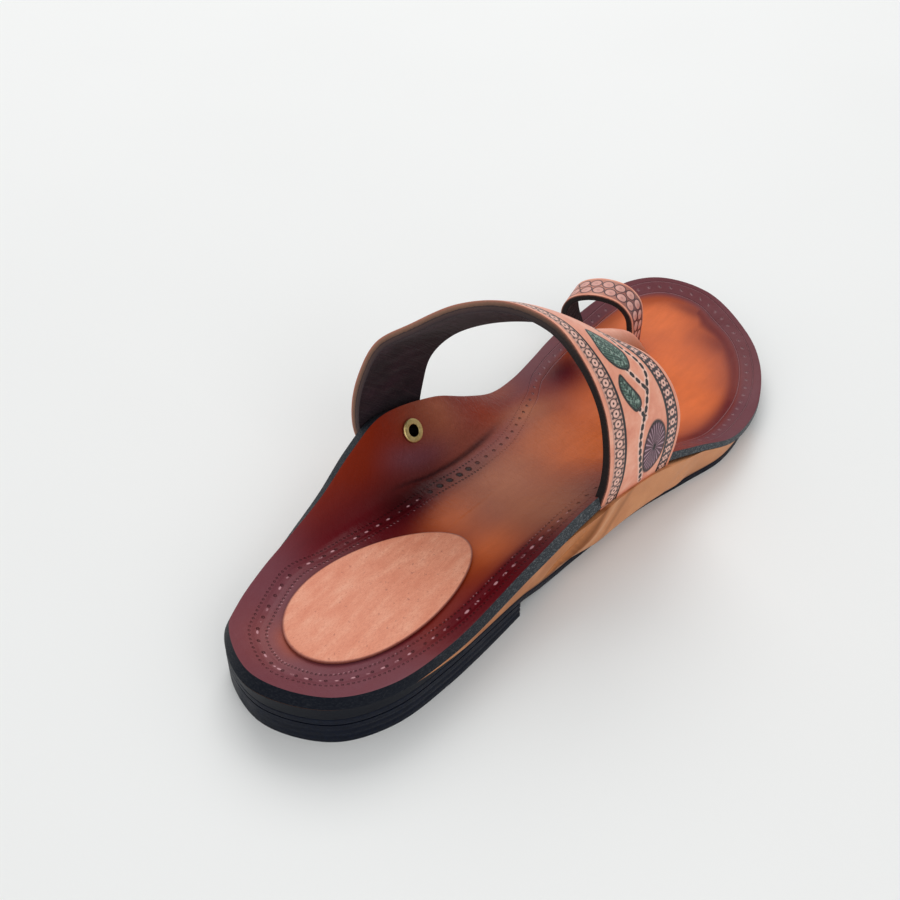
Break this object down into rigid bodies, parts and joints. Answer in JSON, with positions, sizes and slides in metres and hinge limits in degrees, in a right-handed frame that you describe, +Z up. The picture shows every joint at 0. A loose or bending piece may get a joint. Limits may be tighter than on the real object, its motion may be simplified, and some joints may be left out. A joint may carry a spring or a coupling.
{
  "type": "leather sandal",
  "caption": "Flat leather slide sandal for the right foot: cupped footbed with an arch flange, wide tooled instep strap, thong with toe loop, low block heel.",
  "frame": {"origin": "on the floor, under the middle of the sandal's bounding box", "axes": "+Z up, +Y from heel to toe, +X towards the little-toe side"},
  "size_m": [0.0932, 0.2672, 0.0942],
  "materials": {
    "outsole_rubber": "matt blue-black rubber sheet",
    "heel_rubber": "buffed blue-black rubber block",
    "midsole_leather": "natural tan leather cover over a cork wedge",
    "footbed_leather": "waxed leather, orange middle burnished to plum at the edge",
    "pad_leather": "undyed natural leather",
    "strap_leather": "natural leather, tooled and painted, dark suede lining",
    "eyelet_brass": "aged brass"
  },
  "bodies": {
    "root": {"outsole": "outsole_rubber", "heel": "heel_rubber", "midsole": "midsole_leather", "footbed": "footbed_leather", "heel_pad": "pad_leather", "upper": "strap_leather", "eyelet": "eyelet_brass"}
  },
  "joints": []
}
